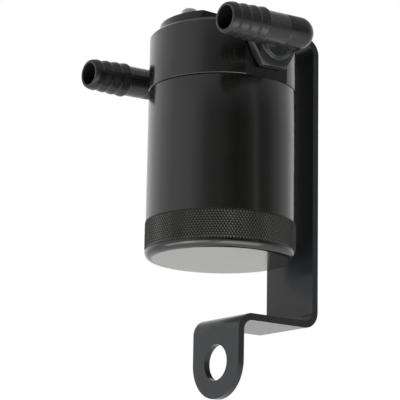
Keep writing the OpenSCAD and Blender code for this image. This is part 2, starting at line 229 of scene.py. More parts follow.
@dataclass
class MaterialShop:
    """Makes each finish once, in Object coordinates and real millimetres.

    Attributes:
        axis: a point on the can's axis, in metres.
        hoses: the two hose mounts, the one on the +X side first.
        patch_mm: width of the patches that the colour drifts in.
        patch_edges: noise levels between which one colour passes into the other.
        cloud_mm: width of the clouds that the roughness drifts in.
        cloud_edges: noise levels between which the roughness passes from low to high.
        swirl_ratio: width of a moulding's flow marks, in grains.
        swirl_weight: their height against the grain's.
        seam_flat_mm: half width of the parting line's top.
        seam_edge_mm: half width of its foot.
        seam_height: its height against the grain's.
        made: the materials made so far, by name.
    """

    axis: Vector
    hoses: Sequence[dict]
    patch_mm: float = 14.0
    patch_edges: tuple[float, float] = (0.35, 0.65)
    cloud_mm: float = 3.0
    cloud_edges: tuple[float, float] = (0.3, 0.7)
    swirl_ratio: float = 9.0
    swirl_weight: float = 1.6
    seam_flat_mm: float = 0.05
    seam_edge_mm: float = 0.28
    seam_height: float = 4.5
    made: dict[str, bpy.types.Material] = field(default_factory=dict)

    def get(self, finish: Finish) -> bpy.types.Material:
        """Returns a finish's material, made on first use.

        Args:
            finish: the finish.

        Returns:
            The Blender material.
        """
        if finish.name not in self.made:
            self.made[finish.name] = self._make(finish)
            LOG.info("material %s", finish.name)
        return self.made[finish.name]

    def _make(self, finish: Finish) -> bpy.types.Material:
        """Builds one material.

        Args:
            finish: the finish.

        Returns:
            The new material.
        """
        material = bpy.data.materials.new(finish.name)
        material.use_nodes = True
        material.diffuse_color = linear(finish.colour)
        graph = Graph(material.node_tree)
        place = graph.add("TexCoord").outputs["Object"]
        patches = graph.add("TexNoise", {"Vector": place, "Scale": 1 / (self.patch_mm * MM),
                                         "Detail": 3.0})
        share = graph.add("MapRange", {"Value": patches, "From Min": self.patch_edges[0],
                                       "From Max": self.patch_edges[1]},
                          interpolation_type="SMOOTHSTEP")
        colour = graph.add("Mix", {0: share, 6: linear(finish.colour),
                                   7: linear(finish.colour_far)}, data_type="RGBA")
        clouds = graph.add("TexNoise", {"Vector": place, "Scale": 1 / (self.cloud_mm * MM),
                                        "Detail": 4.0})
        rough = graph.add("MapRange", {"Value": clouds, "From Min": self.cloud_edges[0],
                                       "From Max": self.cloud_edges[1],
                                       "To Min": finish.roughness - finish.roughness_spread,
                                       "To Max": finish.roughness + finish.roughness_spread},
                          interpolation_type="SMOOTHSTEP")
        bump = graph.add("Bump", {"Height": self._height(graph, finish, place), "Strength": 1.0,
                                  "Distance": finish.grain_depth_mm * MM})
        surface = {"Base Color": colour.outputs[2], "Roughness": rough, "Normal": bump,
                   "Metallic": finish.metallic}
        if finish.metallic == 0.0:
            surface |= {"Specular IOR Level": finish.specular, "Coat Weight": finish.coat,
                        "Coat Roughness": finish.coat_roughness}
        graph.add("OutputMaterial", {"Surface": graph.add("BsdfPrincipled", surface)})
        return material

    def _height(self, graph: Graph, finish: Finish, place: bpy.types.NodeSocket) -> bpy.types.Node:
        """Builds the bump height of a finish's grain.

        Args:
            graph: the material's graph.
            finish: the finish.
            place: Object coordinates.

        Returns:
            A node whose first output is the height.
        """
        scale = 1 / (finish.grain_mm * MM)
        if finish.grain is Grain.TURNED:
            return self._rings(graph, scale, place)
        if finish.grain is Grain.MOULDED:
            return self._moulding(graph, scale, place)
        if finish.grain is Grain.SINTERED:
            return graph.add("TexVoronoi", {"Vector": place, "Scale": scale})
        detail = 1.0 if finish.grain is Grain.COATED else 4.0
        return graph.add("TexNoise", {"Vector": place, "Scale": scale, "Detail": detail})

    def _rings(self, graph: Graph, scale: float, place: bpy.types.NodeSocket) -> bpy.types.Node:
        """Builds rings round the can's axis, by distance from it and by height.

        Args:
            graph: the material's graph.
            scale: rings in a metre.
            place: Object coordinates.

        Returns:
            A node whose first output is the height.
        """
        centred = graph.add("VectorMath", {0: place, 1: tuple(self.axis)}, operation="SUBTRACT")
        level = graph.add("VectorMath", {0: centred, 1: (1.0, 1.0, 0.0)}, operation="MULTIPLY")
        reach = graph.add("VectorMath", {0: level}, operation="LENGTH").outputs["Value"]
        height = graph.add("SeparateXYZ", {0: centred}).outputs[2]
        along = graph.add("CombineXYZ", {0: reach, 2: height})
        return graph.add("TexNoise", {"Vector": along, "Scale": scale, "Detail": 2.0,
                                      "Roughness": 0.7})

    def _moulding(self, graph: Graph, scale: float, place: bpy.types.NodeSocket) -> bpy.types.Node:
        """Builds a moulded skin, with each elbow's parting line in the plane of its bend.

        Args:
            graph: the material's graph.
            scale: grains in a metre.
            place: Object coordinates.

        Returns:
            A node whose first output is the height.
        """
        speck = graph.add("TexNoise", {"Vector": place, "Scale": scale, "Detail": 5.0,
                                       "Roughness": 0.65})
        swirl = graph.add("TexNoise", {"Vector": place, "Scale": scale / self.swirl_ratio,
                                       "Detail": 2.0, "Distortion": 1.5})
        raised = graph.add("Math", {0: swirl, 1: self.swirl_weight}, operation="MULTIPLY")
        grainy = graph.add("Math", {0: speck, 1: raised}, operation="ADD")
        normal = Vector((1.0, 0.0, 0.0)).cross(Vector(self.hoses[0]["axis"])).normalized()
        right, left = (normal.dot(Vector(hose["pos_m"])) for hose in self.hoses)
        level = graph.add("VectorMath", {0: place, 1: tuple(normal)}, operation="DOT_PRODUCT")
        side = graph.add("Math", {0: graph.add("SeparateXYZ", {0: place}), 1: 0.0},
                         operation="GREATER_THAN")
        seam = graph.add("Mix", {0: side, 2: left, 3: right}, data_type="FLOAT")
        off = graph.add("Math", {0: level.outputs["Value"], 1: seam}, operation="SUBTRACT")
        ridge = graph.add("MapRange", {"Value": graph.add("Math", {0: off}, operation="ABSOLUTE"),
                                       "From Min": self.seam_flat_mm * MM,
                                       "From Max": self.seam_edge_mm * MM,
                                       "To Min": self.seam_height, "To Max": 0.0},
                          interpolation_type="SMOOTHSTEP")
        return graph.add("Math", {0: grainy, 1: ridge}, operation="ADD")


@dataclass
class Lathe:
    """Turns and reshapes surfaces about a vertical axis.

    Attributes:
        axis: a point on the axis, in metres; its height is the zero of all heights.
        columns: vertices round the axis.
    """

    axis: Vector
    columns: int = 300

    def reach(self, co: Vector) -> float:
        """Returns a point's distance from the axis, in millimetres."""
        return math.hypot(co.x - self.axis.x, co.y - self.axis.y) / MM

    def height(self, co: Vector) -> float:
        """Returns a point's height, in millimetres."""
        return (co.z - self.axis.z) / MM

    def angle(self, co: Vector) -> float:
        """Returns a point's angle about the axis, from zero up to a full turn."""
        return math.atan2(co.y - self.axis.y, co.x - self.axis.x) % math.tau

    def push(self, vert: bmesh.types.BMVert, radius: float) -> None:
        """Moves a vertex straight out or in.

        Args:
            vert: the vertex.
            radius: its new distance from the axis, in millimetres.
        """
        angle = self.angle(vert.co)
        vert.co.x = self.axis.x + radius * MM * math.cos(angle)
        vert.co.y = self.axis.y + radius * MM * math.sin(angle)

    def turn(self, profile: Profile) -> bmesh.types.BMesh:
        """Spins a profile a full turn and closes it at its poles.

        Args:
            profile: radius and height of each point, from pole to pole.

        Returns:
            The closed skin.
        """
        bm = bmesh.new()
        verts = [bm.verts.new(self.axis + Vector((r, 0.0, z)) * MM) for r, z in profile]
        edges = [bm.edges.new(pair) for pair in zip(verts, verts[1:])]
        bmesh.ops.spin(bm, geom=verts + edges, cent=self.axis, axis=(0.0, 0.0, 1.0),
                       dvec=(0.0, 0.0, 0.0), angle=math.tau, steps=self.columns, use_merge=True)
        bmesh.ops.remove_doubles(bm, verts=bm.verts, dist=WELD * MM)
        return bm

    def reshape(self, bm: bmesh.types.BMesh, nominal: float, z_from: float, z_to: float,
                radius: Radius) -> None:
        """Gives the rows of one nominal radius a radius that changes with angle and height.

        Args:
            bm: the mesh.
            nominal: radius that the rows were turned to.
            z_from: the lowest row's height.
            z_to: the highest row's height.
            radius: the new radius at an angle and a height.
        """
        for vert in bm.verts:
            z = self.height(vert.co)
            if abs(self.reach(vert.co) - nominal) < NEAR and z_from - NEAR < z < z_to + NEAR:
                self.push(vert, radius(self.angle(vert.co), z))


@dataclass(frozen=True)
class Thread:
    """A right-hand thread that fades in and out at its ends.

    Attributes:
        crest: radius of the plain surface.
        root: radius at the bottom of the groove.
        bottom: height of its lower end.
        top: height of its upper end.
        pitch: rise in one turn.
        fade: its length over the length that it takes to fade.
        mouth: width of the groove where it opens, as a share of half the pitch.
        flank: width of each side of the groove, in the same share.
    """

    crest: float
    root: float
    bottom: float
    top: float
    pitch: float = 1.5
    fade: float = 6.0
    mouth: float = 0.88
    flank: float = 0.76

    def radius(self, angle: float, height: float) -> float:
        """Returns the thread's radius at a place.

        Args:
            angle: angle about the axis.
            height: height above the lathe's zero.

        Returns:
            The radius in millimetres.
        """
        t = (height - self.bottom) / (self.top - self.bottom)
        strength = max(0.0, min(1.0, self.fade * t, self.fade * (1.0 - t)))
        turns = height / self.pitch - angle / math.tau
        off = abs(turns % 1.0 - 0.5) * 2
        depth = max(0.0, min(1.0, (self.mouth - off) / self.flank))
        return self.crest + (self.root - self.crest) * strength * depth


def arc(cx: float, cz: float, r: float, start: float, end: float, steps: int) -> Profile:
    """Returns the points of an arc in a turned profile.

    Args:
        cx: radius of its centre.
        cz: height of its centre.
        r: its radius.
        start: first angle in degrees.
        end: last angle in degrees.
        steps: number of chords.

    Returns:
        Radius and height of each point.
    """
    angles = [math.radians(start + (end - start) * k / steps) for k in range(steps + 1)]
    return [(cx + r * math.cos(a), cz + r * math.sin(a)) for a in angles]


def rows(radius: float, start: float, end: float, steps: int) -> Profile:
    """Returns evenly spaced points of one radius in a turned profile.

    Args:
        radius: their radius.
        start: first height.
        end: last height.
        steps: number of gaps between them.

    Returns:
        Radius and height of each point.
    """
    return [(radius, start + (end - start) * k / steps) for k in range(steps + 1)]


def copy_of(node: bpy.types.Object) -> bmesh.types.BMesh:
    """Copies a CAD node's mesh, welded and with its flat faces whole.

    Args:
        node: the CAD object, left as it is.

    Returns:
        A new bmesh.
    """
    bm = bmesh.new()
    bm.from_mesh(node.data)
    bmesh.ops.remove_doubles(bm, verts=bm.verts, dist=WELD * MM)
    bmesh.ops.dissolve_limit(bm, angle_limit=math.radians(FLAT_DEG), verts=bm.verts,
                             edges=bm.edges)
    return bm


def break_edges(bm: bmesh.types.BMesh, width: float, sharp_deg: float = 35.0, segments: int = 2,
                keep: Callable[[bmesh.types.BMEdge], bool] | None = None) -> None:
    """Rounds a mesh's sharp edges.

    Args:
        bm: the mesh.
        width: width of the round, in millimetres.
        sharp_deg: edges sharper than this are rounded.
        segments: faces across the round.
        keep: which of them to take, or all.
    """
    edges = [e for e in bm.edges if len(e.link_faces) == 2
             and e.calc_face_angle(0.0) > math.radians(sharp_deg) and (keep is None or keep(e))]
    bmesh.ops.bevel(bm, geom=edges, offset=width * MM, offset_type="OFFSET", segments=segments,
                    profile=0.5, affect="EDGES", material=-1, clamp_overlap=True)


class Bench:
    """What all sub-assemblies share: the CAD nodes, their bodies, the axis and the finishes."""

    def __init__(self, frame: dict) -> None:
        """Reads the frame.
        """
        self.nodes = frame["nodes"]
        record = frame["record"]
        self.body_of = {n: b for b, ns in record["behaviour"]["bodies"].items() for n in ns}
        mounts = {m["name"]: m for m in record["mounts"]}
        self.hoses = {side: mounts[f"{side}_hose"] for side in ("inlet", "outlet")}
        lo, hi = self.box("can")
        self.axis = Vector(((lo.x + hi.x) / 2, (lo.y + hi.y) / 2, lo.z))
        self.shop = MaterialShop(self.axis, tuple(self.hoses.values()))

    def box(self, node: str) -> tuple[Vector, Vector]:
        """Returns the two corners of a node's box, in metres."""
        lo, hi = (Vector(v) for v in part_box(node))
        return lo, hi

    def piece(self, name: str, node: str, bm: bmesh.types.BMesh, finish: Finish,
              sharp_deg: float) -> bpy.types.Object:
        """Turns a bmesh into the smooth-shaded piece that stands for a CAD node.

        Args:
            name: object name.
            node: the node it replaces.
            bm: the mesh, which is freed.
            finish: its finish.
            sharp_deg: edges sharper than this stay sharp.

        Returns:
            The piece, at the origin.
        """
        bmesh.ops.recalc_face_normals(bm, faces=bm.faces)
        mesh = bpy.data.meshes.new(name)
        bm.to_mesh(mesh)
        bm.free()
        for layer in [a for a in mesh.attributes if a.name in ("custom_normal", "UVMap")]:
            mesh.attributes.remove(layer)
        mesh.polygons.foreach_set("use_smooth", [True] * len(mesh.polygons))
        mesh.set_sharp_from_angle(angle=math.radians(sharp_deg))
        mesh.materials.append(self.shop.get(finish))
        obj = bpy.data.objects.new(name, mesh)
        bpy.context.scene.collection.objects.link(obj)
        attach(obj, self.body_of[node])
        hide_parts(node)
        LOG.info("%s stands for %s with %d faces", name, node, len(mesh.polygons))
        return obj

    def softened(self, node: str, finish: Finish, width: float, smooth_deg: float,
                 sharp_deg: float = 35.0, segments: int = 2) -> bpy.types.Object:
        """Replaces a node by a copy with broken edges.

        Args:
            node: the node's name.
            finish: its finish.
            width: width of the edges' round.
            smooth_deg: edges flatter than this are shaded smooth.
            sharp_deg: which edges are rounded.
            segments: faces across the round.

        Returns:
            The piece.
        """
        bm = copy_of(self.nodes[node])
        break_edges(bm, width, sharp_deg, segments)
        return self.piece(f"{node}_skin", node, bm, finish, smooth_deg)

    def dress(self, node: str, finish: Finish) -> None:
        """Gives a CAD node that stays its procedural material.

        Args:
            node: the node's name.
            finish: its finish.
        """
        for slot in self.nodes[node].material_slots:
            slot.link = "OBJECT"
            slot.material = self.shop.get(finish)
        LOG.info("%s keeps its CAD shape", node)


@dataclass
class Cup:
    """The can: a turned cup with a rolled base, a grip band and a thread in its mouth.

    Attributes:
        bench: what all sub-assemblies share.
        wall: radius of the plain wall.
        bore: radius inside.
        base: radius at the widest of the base round.
        base_round: radius of the base round.
        base_break: radius and height that the broken edge above the base round takes.
        base_rings: radii of the rings that divide the flat base.
        floor: height of the floor inside.
        floor_round: radius of the corner inside.
        floor_ring: radius of the ring that divides that floor.
        wall_rings: heights of the rings that divide the wall.
        bore_ring: height of the ring that divides the bore.
        round_steps: chords of the base round and of the corner inside.
        lip: round of the rim.
        groove: radius of the groove under the grip band.
        groove_low: height of the groove's lower edge.
        groove_gap: height from the groove's upper edge to the grip band.
        band: heights of the grip band's two ends.
        band_rows: half diamonds between them.
        band_crest: radius of the diamonds' flats.
        band_root: radius where the knurl's grooves cross.
        band_flat: share of each diamond that is left flat.
        counterbore: radius of the seal's seat.
        seat: depth of that seat.
        seat_break: width of the chamfer at its upper edge.
        thread_lead: how much wider the bore opens above the thread.
        thread_land: height of the plain land below the thread.
        thread_depths: depths of the thread's two ends below the rim.
        thread_crest: radius of the thread's crest.
        thread_root: radius of its root.
        thread_rows: rows of vertices along it.
        sharp_deg: edges sharper than this stay sharp.
    """

    bench: Bench
    wall: float = 37.5
    bore: float = 33.6
    base: float = 37.8
    base_round: float = 3.5
    base_break: tuple[float, float] = (0.02, 0.04)
    base_rings: tuple[float, ...] = (12.0, 24.0, 33.6)
    floor: float = 5.0
    floor_round: float = 3.0
    floor_ring: float = 16.0
    wall_rings: tuple[float, ...] = (40.0, 62.0)
    bore_ring: float = 30.0
    round_steps: tuple[int, int] = (9, 6)
    lip: float = 0.6
    groove: float = 37.1
    groove_low: float = 3.66
    groove_gap: float = 0.05
    band: tuple[float, float] = (4.15, 18.85)
    band_rows: int = 12
    band_crest: float = 37.86
    band_root: float = 37.42
    band_flat: float = 0.12
    counterbore: float = 36.0
    seat: float = 2.0
    seat_break: float = 0.2
    thread_lead: float = 0.3
    thread_land: float = 0.7
    thread_depths: tuple[float, float] = (2.3, 11.8)
    thread_crest: float = 33.62
    thread_root: float = 34.35
    thread_rows: int = 40
    sharp_deg: float = 24.0

    def build(self) -> None:
        """Turns the cup, cuts its thread and knurl, and dresses it."""
        lathe = Lathe(self.bench.axis)
        lo, hi = self.bench.box("can")
        rim = (hi.z - lo.z) / MM
        top, bottom = (rim - depth for depth in self.thread_depths)
        bm = lathe.turn(self._outside(rim) + self._inside(rim, top, bottom))
        thread = Thread(self.thread_crest, self.thread_root, bottom, top)
        lathe.reshape(bm, self.thread_crest, bottom, top, thread.radius)
        self._knurl(bm, lathe)
        cup = self.bench.piece("can_cup", "can", bm, ANODISED, self.sharp_deg)
        self._dress(cup, lathe)

    def _outside(self, rim: float) -> Profile:
        """Returns the profile from the base's pole up to the rim.

        Args:
            rim: height of the rim.

        Returns:
            Radius and height of each point.
        """
        corner = arc(self.base - self.base_round, self.base_round, self.base_round, -90, 0,
                     self.round_steps[0])
        band = rows(self.band_root, *self.band, self.band_rows)[:-1]
        return [(0.0, 0.0), *((ring, 0.0) for ring in self.base_rings), *corner,
                (self.base - self.base_break[0], self.groove_low - self.base_break[1]),
                (self.groove, self.groove_low),
                (self.groove, self.band[0] - self.groove_gap), *band, (self.wall, self.band[1]),
                *((self.wall, ring) for ring in self.wall_rings), (self.wall, rim - self.lip),
                (self.wall - self.lip / 6, rim - self.lip / 2),
                (self.wall - self.lip / 2, rim - self.lip / 6), (self.wall - self.lip, rim)]

    def _inside(self, rim: float, top: float, bottom: float) -> Profile:
        """Returns the profile from the rim down to the pole of the floor inside.

        Args:
            rim: height of the rim.
            top: height of the thread's upper end.
            bottom: height of its lower end.

        Returns:
            Radius and height of each point.
        """
        bend = self.floor + self.floor_round
        corner = arc(self.bore - self.floor_round, bend, self.floor_round, 0, -90,
                     self.round_steps[1])
        return [(self.counterbore + self.seat_break, rim),
                (self.counterbore, rim - self.seat_break), (self.counterbore, rim - self.seat),
                (self.bore + self.thread_lead, rim - self.seat),
                *rows(self.thread_crest, top, bottom, self.thread_rows),
                (self.thread_crest, bottom - self.thread_land), (self.bore, self.bore_ring),
                *corner, (self.floor_ring, self.floor), (0.0, self.floor)]

    def _knurl(self, bm: bmesh.types.BMesh, lathe: Lathe) -> None:
        """Raises the grip band's diamonds at every second vertex and cuts their tips flat.

        Args:
            bm: the cup's mesh.
            lathe: what it was turned on.
        """
        step = (self.band[1] - self.band[0]) / self.band_rows
        peaks, lows = [], []
        for vert in bm.verts:
            level = (lathe.height(vert.co) - self.band[0]) / step
            row = round(level)
            if lathe.reach(vert.co) < self.groove or abs(level - row) * step > self.groove_gap / 2:
                continue
            column = round(lathe.angle(vert.co) / math.tau * lathe.columns)
            if 0 < row < self.band_rows and (column + row) % 2 == 0:
                peaks.append(vert)
            elif 0 <= row <= self.band_rows:
                lows.append(vert)
        bmesh.ops.connect_verts(bm, verts=lows)
        for vert in peaks:
            lathe.push(vert, self.band_crest)
        tips = bmesh.ops.bevel(bm, geom=peaks, offset=100 * self.band_flat, offset_type="PERCENT",
                               segments=1, profile=0.5, affect="VERTICES", material=-1)
        for vert in tips["verts"]:
            lathe.push(vert, self.band_crest)

    def _dress(self, cup: bpy.types.Object, lathe: Lathe) -> None:
        """Gives the flat base and the grip band their own surfaces.

        Args:
            cup: the finished cup.
            lathe: what it was turned on.
        """
        # The grip band's finish has a lighter colour, a painted sheen.
        for finish in (FACED, KNURL_SHEEN):
            cup.data.materials.append(self.bench.shop.get(finish))
        low, high = self.band[0] - self.groove_gap, self.band[1] + self.groove_gap
        for face in cup.data.polygons:
            height = lathe.height(face.center)
            if height < WELD:
                face.material_index = 1
            elif low < height < high and lathe.reach(face.center) > self.counterbore:
                face.material_index = 2


@dataclass
class Head:
    """The turned head with the threaded spigot that the can screws on.

    Attributes:
        bench: what all sub-assemblies share.
        spigot: length of the spigot.
        outside: edges farther from the axis than this are broken.
        edge: width of their round.
        thread_depth: depth of the thread's groove.
        thread_rows: rows of faces along it.
        sharp_deg: edges sharper than this stay sharp.
    """

    bench: Bench
    spigot: float = 9.0
    outside: float = 31.0
    edge: float = 0.08
    thread_depth: float = 0.75
    thread_rows: int = 42
    sharp_deg: float = 17.0

    def build(self) -> None:
        """Copies the head, breaks its outer edges and cuts its thread."""
        low = self.bench.box("head")[0].z
        lathe = Lathe(Vector((self.bench.axis.x, self.bench.axis.y, low)))
        bm = copy_of(self.bench.nodes["head"])

        def on_outside(edge: bmesh.types.BMEdge) -> bool:
            """Says whether an edge lies on the head's outer surface above the spigot."""
            return all(lathe.height(v.co) > self.spigot - NEAR
                       and lathe.reach(v.co) > self.outside for v in edge.verts)

        break_edges(bm, self.edge, keep=on_outside)
        self._cut_thread(bm, lathe)
        self.bench.piece("head_billet", "head", bm, ANODISED, self.sharp_deg)

    def _cut_thread(self, bm: bmesh.types.BMesh, lathe: Lathe) -> None:
        """Divides the spigot's plain side into rows and shapes them to a thread.

        Args:
            bm: the head's mesh.
            lathe: measures from the spigot's lower end.
        """
        below = [v for v in bm.verts if lathe.height(v.co) < self.spigot - NEAR]
        crest = max(lathe.reach(v.co) for v in below)
        upright = {}
        for edge in bm.edges:
            low, high = sorted(lathe.height(v.co) for v in edge.verts)
            on_side = all(abs(lathe.reach(v.co) - crest) < NEAR for v in edge.verts)
            if on_side and high < self.spigot + NEAR and high - low > self.spigot / 2:
                upright[edge] = (low, high)
        bottom, top = next(iter(upright.values()))
        bmesh.ops.subdivide_edges(bm, edges=list(upright), cuts=self.thread_rows - 1)
        thread = Thread(crest, crest - self.thread_depth, bottom, top)
        gap = (top - bottom) / self.thread_rows / 2
        lathe.reshape(bm, crest, bottom + gap, top - gap, thread.radius)


@dataclass
class Strap:
    """The folded strap.

    Attributes:
        bench: what all sub-assemblies share.
        edge: width of the round that deburring and coating leave.
        smooth_deg: small, so that the flats are shaded apart from the rounds.
    """

    bench: Bench
    edge: float = 0.35
    smooth_deg: float = 12.0

    def build(self) -> None:
        """Copies the strap with its edges rounded."""
        self.bench.softened("bracket", STRAP, self.edge, self.smooth_deg, segments=3)


@dataclass
class Elbows:
    """The two moulded hose elbows.

    Attributes:
        bench: what all sub-assemblies share.
        bore: diameter of the bore with a little room.
        edge: width of the round on their edges.
        sharp_deg: which edges are rounded.
        smooth_deg: edges flatter than this are shaded smooth.
        lip_share: faces that point along the bore by more than this belong to the lip.
    """

    bench: Bench
    bore: float = 11.7
    edge: float = 0.15
    sharp_deg: float = 40.0
    smooth_deg: float = 32.0
    lip_share: float = 0.5

    def build(self) -> None:
        """Softens each elbow and gives its bore a darker, duller nylon, painted shade inside it.
        """
        for side, mount in self.bench.hoses.items():
            skin = self.bench.softened(f"{side}_elbow", NYLON, self.edge, self.smooth_deg,
                                       self.sharp_deg)
            # The bore's faces get the darker nylon, a painted shade.
            skin.data.materials.append(self.bench.shop.get(SHADED_BORE))
            mouth, way = Vector(mount["pos_m"]), Vector(mount["axis"])
            for face in skin.data.polygons:
                off = face.center - mouth
                reach = (off - way * off.dot(way)).length
                wall = abs(face.normal.dot(way)) < self.lip_share
                face.material_index = int(wall and reach < self.bore * MM / 2)


@dataclass
class Fasteners:
    """The two screws with fluted heads that hold the strap, and their washers.

    Attributes:
        bench: what all sub-assemblies share.
        shank: radius of the threaded shank.
        point: radius at its tip.
        point_height: height of the tip's chamfer.
        neck: how far below the head the shank passes into its underside.
        head_height: height of the head.
        head: radius of the head over its flutes.
        underside: radius of the head's flat underside.
        rim_step: how much narrower the head is just below and above its flutes.
        rim_gaps: heights of those two steps.
        crown: radius and height of each point of the rounded top.
        flutes: number of flutes round the head.
        flute_depth: depth of a flute.
        flute_rows: heights at which the flutes start, stand and end.
        flute_power: below one, so that the ridges stay narrow.
        socket: half the width across the flats of the socket.
        socket_floor: height of the socket's floor above the washer.
        socket_edge: width of the socket's chamfer.
        socket_cone: depth of the cone in the socket's floor.
        columns: vertices round the screw.
        washer_edge: width of the round on the washer's edges.
        smooth_deg: edges of the screw and of the washer flatter than this are shaded smooth.
    """

    bench: Bench
    shank: float = 2.48
    point: float = 2.0
    point_height: float = 0.5
    neck: float = 0.05
    head_height: float = 5.0
    head: float = 4.22
    underside: float = 3.9
    rim_step: float = 0.12
    rim_gaps: tuple[float, float] = (0.1, 0.2)
    crown: tuple[tuple[float, float], ...] = ((3.95, 3.95), (3.68, 4.35), (3.3, 4.68), (2.9, 4.9),
                                              (2.65, 5.0))
    flutes: int = 48
    flute_depth: float = 0.16
    flute_rows: tuple[float, ...] = (0.35, 2.0, 3.3)
    flute_power: float = 0.7
    socket: float = 2.0
    socket_floor: float = 2.5
    socket_edge: float = 0.14
    socket_cone: float = 0.3
    columns: int = 144
    washer_edge: float = 0.12
    smooth_deg: tuple[float, float] = (30.0, 20.0)

    def build(self) -> None:
        """Builds both sets."""
        for side in SIDES:
            self.bench.softened(f"bracket_washer_{side}", STEEL, self.washer_edge,
                                self.smooth_deg[1])
            self._screw(f"bracket_screw_{side}")

    def _fluted(self, angle: float, height: float) -> float:
        """Returns the head's radius at an angle, the same at each height."""
        wave = abs(math.sin(angle * self.flutes / 2)) ** self.flute_power
        return self.head - self.flute_depth * wave

    def _hexagon(self, angle: float, height: float) -> float:
        """Returns the socket's radius, wider by its chamfer at the top."""
        flat = self.socket / math.cos(angle % (math.pi / 3) - math.pi / 6)
        return flat + (self.socket_edge if height > self.head_height - NEAR else 0.0)

    def _screw(self, node: str) -> None:
        """Turns one screw.

        Args:
            node: the CAD screw it stands for.
        """
        lo, hi = self.bench.box(node)
        seat = Vector(((lo.x + hi.x) / 2, (lo.y + hi.y) / 2, hi.z - self.head_height * MM))
        tip = (lo.z - seat.z) / MM
        top, mouth = self.head_height, self.head_height - self.socket_edge
        rim = self.head - self.rim_step
        low, high = self.flute_rows[0], self.flute_rows[-1]
        lathe = Lathe(seat, self.columns)
        bm = lathe.turn([
            (0.0, tip), (self.point, tip), (self.shank, tip + self.point_height),
            (self.shank, -self.neck), (self.underside, 0.0), (rim, low - self.rim_gaps[0]),
            *((self.head, z) for z in self.flute_rows), (rim, high + self.rim_gaps[1]),
            *self.crown, (self.socket + self.socket_edge, top), (self.socket, mouth),
            (self.socket, self.socket_floor), (0.0, self.socket_floor - self.socket_cone)])
        lathe.reshape(bm, self.head, low, high, self._fluted)
        lathe.reshape(bm, self.socket + self.socket_edge, top, top, self._hexagon)
        lathe.reshape(bm, self.socket, self.socket_floor, mouth, self._hexagon)
        self.bench.piece(f"{node}_cap", node, bm, STEEL, self.smooth_deg[0])


@dataclass
class Inside:
    """What sits inside the can and head, and keeps its CAD shape.

    Attributes:
        bench: what all sub-assemblies share.
    """

    bench: Bench

    def build(self) -> None:
        """Dresses each piece."""
        finishes = {"can_seal": RUBBER, "drop_tube": ALUMINIUM, "baffle_plate": STEEL,
                    "filter_nut": BRASS, "filter_element": BRONZE}
        for side in SIDES:
            finishes |= {f"baffle_spacer_{side}": ALUMINIUM, f"baffle_washer_{side}": STEEL,
                         f"baffle_screw_{side}": STEEL}
        for node, finish in finishes.items():
            self.bench.dress(node, finish)


@dataclass(frozen=True)
class SoftBox:
    """One soft light that faces the object.

    Attributes:
        name: light name.
        place: its centre, in metres.
        width: width in metres.
        height: height in metres.
        watts: its power.
        mirrored: whether shiny pieces show it.
    """

    name: str
    place: tuple[float, float, float]
    width: float
    height: float
    watts: float
    mirrored: bool = True


